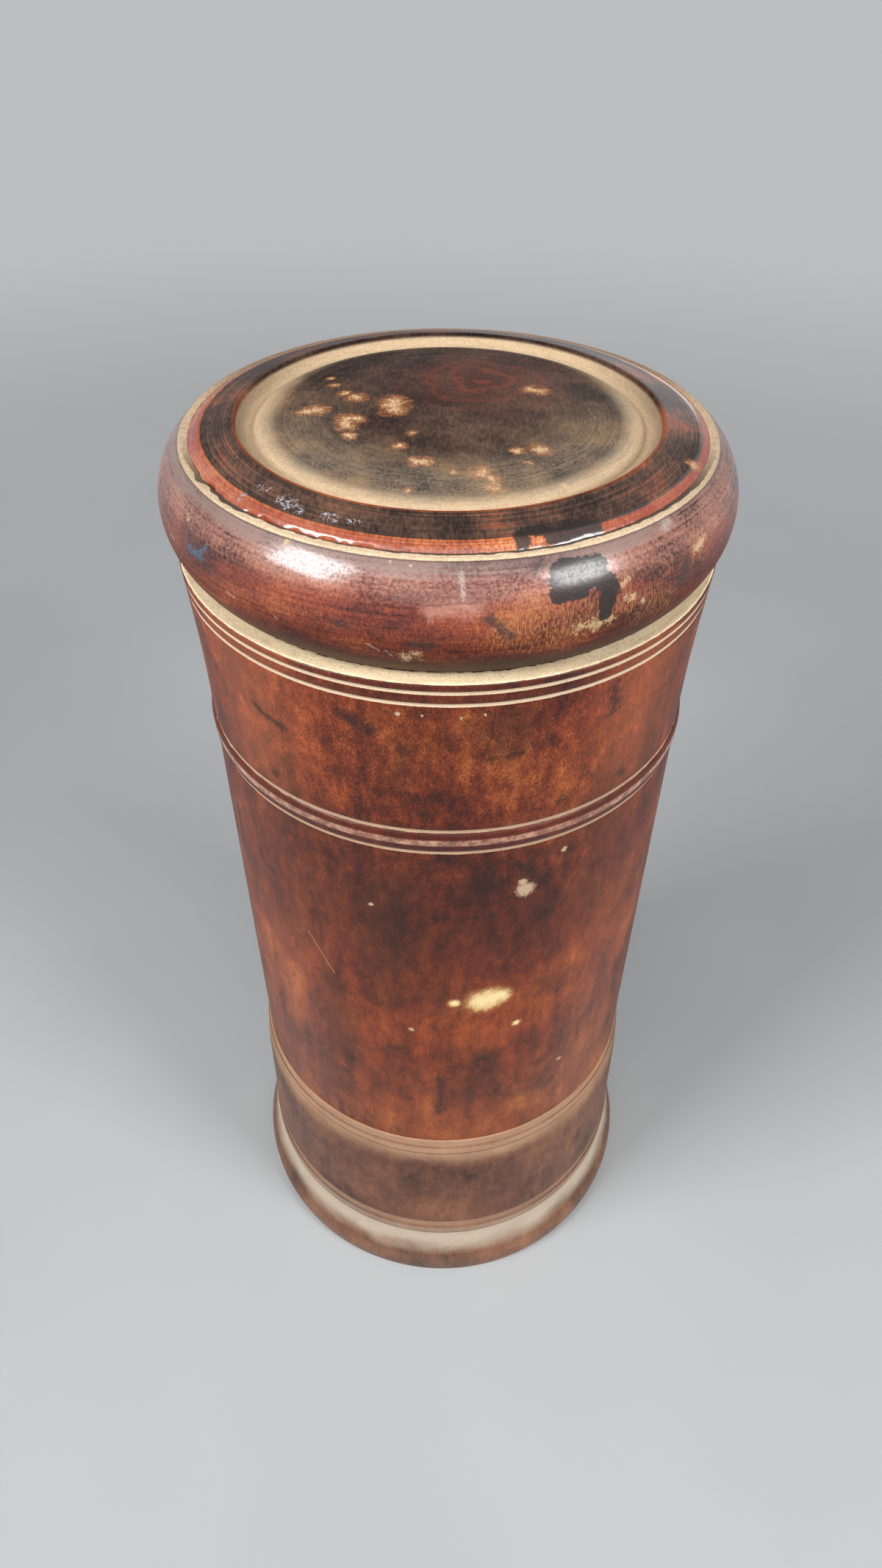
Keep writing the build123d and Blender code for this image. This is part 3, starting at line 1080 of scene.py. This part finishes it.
# %% Ring finish
ring_reds = [(52, 17, 11), (108, 40, 24), (150, 66, 39), (194, 106, 66)]
ring_ambers = [(42, 16, 8), (88, 36, 16), (126, 58, 26), (170, 100, 50)]
underside_shade_and_dust = (50, 35, 25)
painted_sheen_pink = (194, 150, 130)
film_blue = (124, 113, 108)
rubbed_tan = (198, 138, 84)
drop_brown = (150, 118, 92)
quirk_dust = [(246, 219, 186), (198, 168, 134)]
old_dust = (104, 74, 54)
gap_shade_dark = (38, 29, 24)


def quirk_layer(finish):
    """Fills the quirk with dust, duller at the sides, with painted shade in the gap along the panel's jagged
    lip and a fine line of painted shade along the ring. Gives the dust's place and its grit."""
    radius, front = finish.radius, finish.front
    at_top = finish.height.ease(quirk_height - 0.75, quirk_height - 0.45)
    quirk = at_top * radius.ease(ring_foot + 0.45, ring_foot + 0.2)
    caked, dust, grit = caked_dust(finish, quirk, *quirk_dust, 0.3)
    dust = finish.mix(front.ease(0.95, 0.7) * 0.3 + front.ease(0.45, 0.2) * 0.45, dust, old_dust)
    finish.cover(caked, dust)
    # Painted shade in the gap along the lip and in the crease along the ring.
    along_lip = (radius - finish.note("jag")).ease(panel_radius + 0.7, panel_radius + 0.5)
    along_ring = radius.between(ring_foot + 0.34, ring_foot + 0.44, 0.12)
    painted_gap_shade = (along_lip * quirk * front.ease(0.55, 0.8)).at_least(along_ring * at_top * 0.5)
    finish.cover(painted_gap_shade * 0.9, gap_shade_dark)
    return caked, grit


def ring_finish():
    """Red-brown stain under a glossy varnish, with a painted sheen above, flecked and rubbed below, darker over
    the ledge with dust and painted shade.
    """
    finish = WoodFinish("lid_ring_finish")
    height, front = finish.height, finish.front
    track = finish.note("track")
    lines = finish.turned_noise(track, 26, 0.5, ring_radius, detail=4, rough=0.6)
    flecks = finish.turned_noise(track, 0.22, 0.9, ring_radius, detail=3, rough=0.65, shift=9)
    grains = finish.noise(0.45, detail=3, rough=0.7, shift=19)
    clouds = finish.noise((15, 15, 8), detail=4, rough=0.62, shift=13)
    low = height.ease(ring_middle + 4, ring_middle - 3)
    tone = 0.48 + lines.swing(0.7) + flecks.swing(low * 0.7 + 0.3) + clouds.swing(1.6)
    tone = tone + grains.swing(1.0 - low * 0.2)
    red, amber = [finish.ramp(tone, 0.1, 0.95, *colours) for colours in (ring_reds, ring_ambers)]
    finish.colour = finish.mix(low * 0.7 + clouds - 0.5, red, amber)
    # Painted shade with dust: darker under the ring's curve, over the ledge.
    under = height.ease(ledge_height + 6.5, ledge_height + 2.5)
    finish.cover(under * 0.75, underside_shade_and_dust)

    worn = finish.near(lid_ring, rubbed_places, 1.0).ease(0.0, 0.8)
    rubbed = (flecks * 0.8 + grains * 0.2 + worn * 0.12 + clouds.swing(0.2)).ease(0.56, 0.7)
    finish.cover(rubbed * (low * 0.06 + worn * 0.42), rubbed_tan)
    # A painted sheen over the upper half, weaker at the very front and fading at the sides and the back.
    painted_sheen = 0.38 - front.ease(0.85, 1.0) * 0.26 + clouds.swing(1.3) + lines.swing(0.9) + grains.swing(1.3)
    painted_sheen = height.ease(ring_middle + 3, ring_middle + 6.5) * front.ease(0.4, 0.8) * painted_sheen
    finish.cover(painted_sheen, painted_sheen_pink)
    finish.stain(lid_ring, tide_shade, pink_sheen, tide_line)
    rise = height + (1 - front) * 1.5 - finish.facing(1, 0).ease(0.7, 0.95) * 1.5
    film = rise.ease(quirk_height - 4.0, quirk_height) + lines.swing(1.5) + clouds.swing(1.4)
    film = (film + grains.swing(0.7)).ease(0.2, 1.1) * rise.ease(quirk_height - 4.5, quirk_height - 1.0)
    finish.cover(film * 0.68, film_blue)

    chip = finish.stain(lid_ring, brown_smears, pale_scuffs, cream_patches)
    drops = finish.near(lid_ring, drop_rings, 0.1).between(0.3, 0.5, 0.15)
    finish.cover(drops * 0.5, drop_brown)
    black = finish.stain(lid_ring, black_spill)
    finish.stain(lid_ring, blue_smear)
    caked, grit = quirk_layer(finish)
    bare = finish.radius.ease(ring_rebate - 0.1, ring_rebate - 0.4)
    finish.cover(bare, bare_wood(finish))

    dull = caked + rubbed * low * 0.5 + chip * 0.6 + bare
    roughness = 0.4 + low * 0.1 + flecks * 0.12 + dull * 0.4
    coat = (1 - dull).ease(0, 1) * (1 - low * 0.9) * (1 - black * 0.45)
    coat = coat * (0.5 + grains.ease(0.34, 0.6) * 0.5)
    relief = flecks * 0.1 + grains * 0.25 + caked * grit * 0.8 - chip * 0.2
    return finish.shine(roughness, coat, relief, depth=0.16, lacquer=1.75)


lid_ring.build("lid", "lid_ring", ring_finish())

# %% [markdown]
# ## The lid's panel
#
# A round panel is let into the ring: a dark sloping border, a cove where the dust is thickest, and a low
# dome. Its outer lip is rounded and follows the jagged line. Dust has drifted over the front and the sides of
# the dome and lies in fine rings there, but not at the back. Below, out of sight, the panel ends in the
# spigot.

# %% Panel outline
lip_round = 1.4
border_width = 7.7
border_rise = 2.0
cove_width = 2.7
cove_depth = 2.4
dome_edge_width = 2.4
dome_edge_rise = 1.3
spigot_chamfer = 1.0
spigot_hollow = 2.0
spigot_clearance = 0.4

spigot_radius = bore_radius - spigot_clearance
panel_edge = quirk_height + panel_stand
lip_top = (panel_radius - lip_round, panel_edge + border_rise * lip_round / border_width)
dish_rim = (panel_radius - border_width, panel_edge + border_rise)
cove_foot = (dish_rim[0] - cove_width, dish_rim[1] - cove_depth)
dome_edge = (cove_foot[0] - dome_edge_width, cove_foot[1] + dome_edge_rise)
dome = arc_from((0, dome_height), (1, 0), dome_edge)
dome_slope = dome[-1] - dome[-2]

panel_strokes = [
    straight((0, spigot_end + spigot_hollow), (spigot_radius - spigot_chamfer, spigot_end)),
    straight((spigot_radius, spigot_end + spigot_chamfer), (spigot_radius, ring_bottom)),
    straight((neck_radius, ring_bottom), (neck_radius, panel_seat), (panel_radius, panel_seat)),
    arc_from((panel_radius, panel_edge - lip_round), (0, 1), lip_top),
    quarter_round(dish_rim, cove_foot),
    arc_from(dome_edge, dome_slope, cove_foot)[::-1],
    dome[::-1],
]
panel_under = (-1, 0, panel_radius + 1, quirk_height - 1)
lid_panel = Turning("lid_panel_turned", panel_strokes, 0.13, hidden=[panel_under], closed=False)
panel_top = ramp_up(lid_panel.height, quirk_height - 0.8, quirk_height - 0.4)
near_lip = ramp_up(lid_panel.radius, panel_radius - 0.6, panel_radius - 0.1) * panel_top
lid_panel.weather((0.03, 14, 13), (0.01, 3, 14))
lid_panel.points = lid_panel.points + (near_lip * jagged(lid_panel.out))[..., None] * lid_panel.out
print(f"panel {panel_radius:.1f} mm in radius, dish {dish_rim[0]:.1f} mm, dome {dome_height:.1f} mm high")

# %% Panel marks
panel_chips = Stain((156, 98, 58), share=0.8, fray=(1.3, 1.3), edge=(0.0, 0.6), strokes=[
    (3.2, (432, 558)), (2.4, (418, 560)), (3.6, (536, 546), (537, 557)), (2.6, (470, 570), (472, 580)),
    (2.2, (486, 570)), (2.8, (484, 541)), (1.8, (468, 535)), (2.0, (474, 593)), (1.6, (455, 524)),
    (2.0, (543, 607)), (1.4, (560, 589)), (2.0, (566, 628), (578, 627)), (2.8, (735, 612)), (1.8, (704, 613)),
    (2.6, (722, 530), (735, 532)), (2.8, (656, 643)), (2.2, (670, 652)), (1.2, (719, 629)), (1.5, (556, 667)),
    (1.5, (766, 661)), (2.2, (673, 664)), (1.2, (617, 642)), (1.1, (450, 515)), (1.9, (945, 633)),
])
black_edge = Stain((36, 30, 28), share=0.92, fray=(0.7, 0.6), edge=(0.25, 0.4), strokes=[
    (2.8, (757, 728), (806, 719)), (1.8, (710, 730), (713, 742)), (1.6, (722, 722), (745, 722)),
])
flakes_and_glints = Stain((190, 188, 196), share=0.85, fray=(1.0, 1.0), edge=(0.2, 0.7), strokes=[
    (1.9, (384, 680), (396, 687)), (1.6, (404, 694)), (1.3, (442, 702), (456, 705)),
    (1.2, (478, 708), (488, 708)), (1.2, (330, 676)), (1.3, (357, 664), (366, 665)),
])
heart_place = lid_panel.land((655, 518)) * mm
panel_stains = (panel_chips, black_edge, flakes_and_glints)
print(f"{sum(len(stain.strokes) for stain in panel_stains)} strokes on the panel")

# %% Panel finish
panel_darks = [(32, 22, 17), (68, 49, 40), (96, 72, 58), (134, 98, 76)]
panel_oranges = [(126, 54, 28), (204, 112, 60), (238, 168, 114)]
border_glow = (170, 78, 44)
heart_red = (118, 56, 38)
lip_red = (150, 50, 32)
rim_orange = (164, 72, 36)
chip_core = [(204, 150, 100), (238, 208, 168)]
cove_dust = [(190, 163, 130), (218, 191, 157)]
film_greys = [(198, 182, 162), (210, 180, 138)]
heart_pitch = 1.4


def panel_wood(finish, lines, clouds, flecks):
    """Nearly black wood, darker towards the back with painted shade, with turning lines that glow orange on the
    border, a reddish heart in the grain, and edges rubbed to orange: the lip, redder at the left and the
    right, and the dish's rim. Gives the border's place."""
    radius, front = finish.radius, finish.front
    tone = 0.48 + lines.swing(radius.ease(8, 30) * 0.9 + 0.1) + clouds.swing(1.5) + flecks.swing(1.1)
    # Painted shade: darker towards the back.
    tone = tone - front.ease(0.5, 0.1) * 0.2
    finish.colour = finish.ramp(tone, 0.15, 0.95, *panel_darks)
    border = radius.ease(dish_rim[0], dish_rim[0] + 1)
    glow = (lines + clouds.swing(0.9)).ease(0.52, 0.72) * border
    glow = glow * (0.5 - finish.facing(-0.59, -0.81).ease(0.92, 0.98) * 0.35)
    finish.cover(glow, border_glow)
    heart = finish.vector("DISTANCE", finish.shaken(2.2, 8.0), heart_place, "Value") * (1 / mm)
    swirl = finish.node("ShaderNodeMath", {"operation": "SINE"}, {0: heart * heart_pitch}).ease(0.3, 1.0)
    finish.cover((swirl * 0.5 + 0.25) * heart.ease(19, 5), heart_red)

    left = finish.facing(-0.8, -0.6).ease(0.7, 0.95)
    right = finish.facing(0.92, -0.38).ease(0.8, 0.96)
    orange = finish.ramp(tone, 0.2, 0.8, *panel_oranges)
    orange = finish.mix(left * 0.6 + right * 0.75, orange, lip_red)
    worn = (radius - right * 0.8).ease(panel_radius - 2.4, panel_radius - 1.6)
    worn = (worn + clouds.swing(0.8) + lines.swing(1.1)).ease(0.4, 0.75)
    finish.cover(worn * border * 0.94, orange)
    rubbed = radius.between(dish_rim[0], dish_rim[0] + 0.3, 0.2) * (0.55 + clouds.swing(2.0))
    finish.cover(rubbed * front.ease(0.3, 0.6), rim_orange)
    return border


def panel_marks(finish, flecks):
    """Lays chips, a black spill and flaked varnish, its flakes painted as white glints, over the wood. Gives
    the places of the chips and the flakes."""
    near_chip = finish.closeness(lid_panel, panel_chips)
    finish.cover(near_chip.ease(*panel_chips.edge) * panel_chips.share, panel_chips.tint)
    chip = near_chip.ease(0.45, 1.0)
    finish.cover(chip * 0.85, finish.ramp(flecks, 0.35, 0.6, *chip_core))
    finish.stain(lid_panel, black_edge)
    # Flaked varnish, its flakes painted as white glints.
    flaked = finish.closeness(lid_panel, flakes_and_glints).ease(*flakes_and_glints.edge)
    flake_glints = finish.noise(1.1, detail=2, rough=0.6, shift=83).between(0.49, 0.53, 0.02) * flaked
    finish.cover(flake_glints * flakes_and_glints.share, flakes_and_glints.tint)
    return chip, flake_glints


def dish_layer(finish, lines, clouds, grit):
    """Dusts the dish: caked in the cove, less behind, and a film in fine rings over the front and the sides of
    the dome. On the cove's outer wall, except at the back, the dust is thinned to a painted shade. Gives the
    dust's place."""
    radius, front = finish.radius, finish.front
    broad = finish.turned_noise(radius, 30, 1.6, dish_rim[0], detail=3, rough=0.6, shift=4)
    dashes = finish.turned_noise(radius, 5, 0.4, dish_rim[0], detail=3, rough=0.7, shift=6)
    rings = lines.swing(0.2) + broad.swing(0.3) + dashes.swing(0.4) + clouds.swing(0.9) + grit.swing(0.9)
    in_dish = radius.ease(dish_rim[0] - 0.05, dish_rim[0] - 0.3)
    in_dish = in_dish * finish.height.ease(quirk_height - 1, quirk_height)
    behind = front.ease(0.45, 0.1)
    cake = (radius + rings * 1.5 - behind * 2.4).ease(dome_edge[0] - 3.5, dome_edge[0] + 2.0)
    film = radius.ease(13, dome_edge[0] - 3) * front.ease(0.2, 0.9) * (0.28 + rings * 0.9)
    # Painted shade on the cove's outer wall, except at the back, where the dust is thinned.
    shaded_wall = radius.ease(cove_foot[0] + 0.4, dish_rim[0] - 0.4) * (1 - behind)
    dusty = film.at_least(cake) * in_dish * (1 - shaded_wall * 0.5)
    ochre = finish.ramp(grit * 0.6 + dashes * 0.4, 0.34, 0.6, *cove_dust)
    grey = finish.ramp(clouds, 0.4, 0.6, *film_greys)
    finish.cover(dusty * 0.95, finish.mix(cake, grey, ochre))
    return dusty


def panel_finish():
    """Nearly black stain with turning lines, rubbed to orange on its edges and dusted in its dish."""
    finish = WoodFinish("lid_panel_finish")
    radius = finish.radius
    lines = finish.turned_noise(radius, 45, 0.3, dish_rim[0], detail=4, rough=0.6)
    clouds = finish.noise(12, detail=5, rough=0.62, shift=13)
    flecks = finish.noise((0.45, 1.6, 0.45), detail=3, rough=0.6, shift=2)
    grit = finish.noise(0.45, detail=3, rough=0.7, shift=7)
    border = panel_wood(finish, lines, clouds, flecks)
    chip, flake_glints = panel_marks(finish, flecks)
    dusty = dish_layer(finish, lines, clouds, grit)
    bare = finish.height.ease(panel_seat + 4, panel_seat + 3)
    finish.cover(bare, bare_wood(finish))

    lip = radius.ease(panel_radius - 2.0, panel_radius - 1.2)
    dull = dusty + chip * 0.6 + bare
    roughness = 0.52 + flecks * 0.12 + dull * 0.35 - flake_glints * 0.2
    coat = (1 - dull).ease(0, 1) * (border * 0.2 + lip * 0.8)
    relief = lines * 0.3 + dusty * grit * 0.5 + flake_glints * 0.8 - chip * 0.3
    return finish.shine(roughness, coat, relief, depth=0.14, sheen=0.1, lacquer=1.9)


lid_panel.build("lid", "lid_panel", panel_finish())

# %% [markdown]
# ## Floor and light
#
# A plain pale floor and soft lamps, on the left, on the right, in front and a weak one behind, show the
# varnish's highlights on the lid without hiding the wood. Their level is plain: a colour renders about as it
# is written. Far off, the floor fades into the sky, so that every view has the same plain backdrop.

# %% Floor
floor_reach = 6.0
floor_greys = [(180, 183, 185), (188, 191, 193)]
backdrop = (188, 190, 192)
backdrop_near, backdrop_far = 200, 1000


def seen_rays(finish):
    """1 for the rays that look at the stage, from the camera, off a gloss or through a clear piece, and 0 for
    the rays that light the canister."""
    ways = ("Camera", "Glossy", "Transmission")
    looks, mirrors, passes = [finish.node("ShaderNodeLightPath", output=f"Is {way} Ray") for way in ways]
    return looks.at_least(mirrors).at_least(passes)


corners = [(x * floor_reach, y * floor_reach, 0) for x, y in ((-1, -1), (1, -1), (1, 1), (-1, 1))]
floor_mesh = bpy.data.meshes.new("floor")
floor_mesh.from_pydata(corners, [], [(0, 1, 2, 3)])
floor_finish = Finish("floor_finish")
cloth = floor_finish.ramp(floor_finish.noise(180, detail=3), 0.3, 0.7, *floor_greys)
lit = floor_finish.node("ShaderNodeBsdfPrincipled", None, {"Base Color": cloth, "Roughness": 0.8})
plain = floor_finish.node("ShaderNodeEmission", None, {"Color": paint(*backdrop)})
far = floor_finish.radius.ease(backdrop_near, backdrop_far) * seen_rays(floor_finish)
floor_finish.end(floor_finish.node("ShaderNodeMixShader", None, {0: far, 1: lit, 2: plain}))
floor_mesh.materials.append(floor_finish.material)
floor = bpy.data.objects.new("floor", floor_mesh)
bpy.context.scene.collection.objects.link(floor)
print(f"floor {2 * floor_reach:.0f} m wide")

# %% Lamps
lamp_target = np.array([0, 0, 150.0]) * mm
sky_light = 0.25


def soft_lamp(name, direction, distance, size, power):
    """A square lamp that looks at the canister from a direction. Lengths are in metres, the power in
    watts."""
    light = bpy.data.lights.new(name, "AREA")
    light.size = size
    light.energy = power
    lamp = bpy.data.objects.new(name, light)
    bpy.context.scene.collection.objects.link(lamp)
    way = Vector(direction).normalized()
    lamp.location = Vector(lamp_target) + distance * way
    lamp.rotation_euler = way.to_track_quat("Z", "Y").to_euler()


soft_lamp("left_lamp", (-0.67, -0.42, 0.62), distance=0.8, size=0.33, power=5.4)
soft_lamp("right_lamp", (0.67, -0.50, 0.55), distance=0.8, size=0.28, power=4.2)
soft_lamp("front_lamp", (0.0, -0.75, 0.66), distance=1.3, size=1.2, power=4.8)
soft_lamp("back_lamp", (0.2, 0.96, 0.2), distance=1.3, size=0.6, power=1.6)
sky = Finish("studio", bpy.data.worlds)
sky_strength = seen_rays(sky) * (1 - sky_light) + sky_light
sky_colours = {"Color": paint(*backdrop), "Strength": sky_strength}
sky.end(sky.node("ShaderNodeBackground", None, sky_colours), "ShaderNodeOutputWorld")
bpy.context.scene.world = sky.material
bpy.context.scene.view_settings.view_transform = "Standard"
print("four lamps and a dim sky")
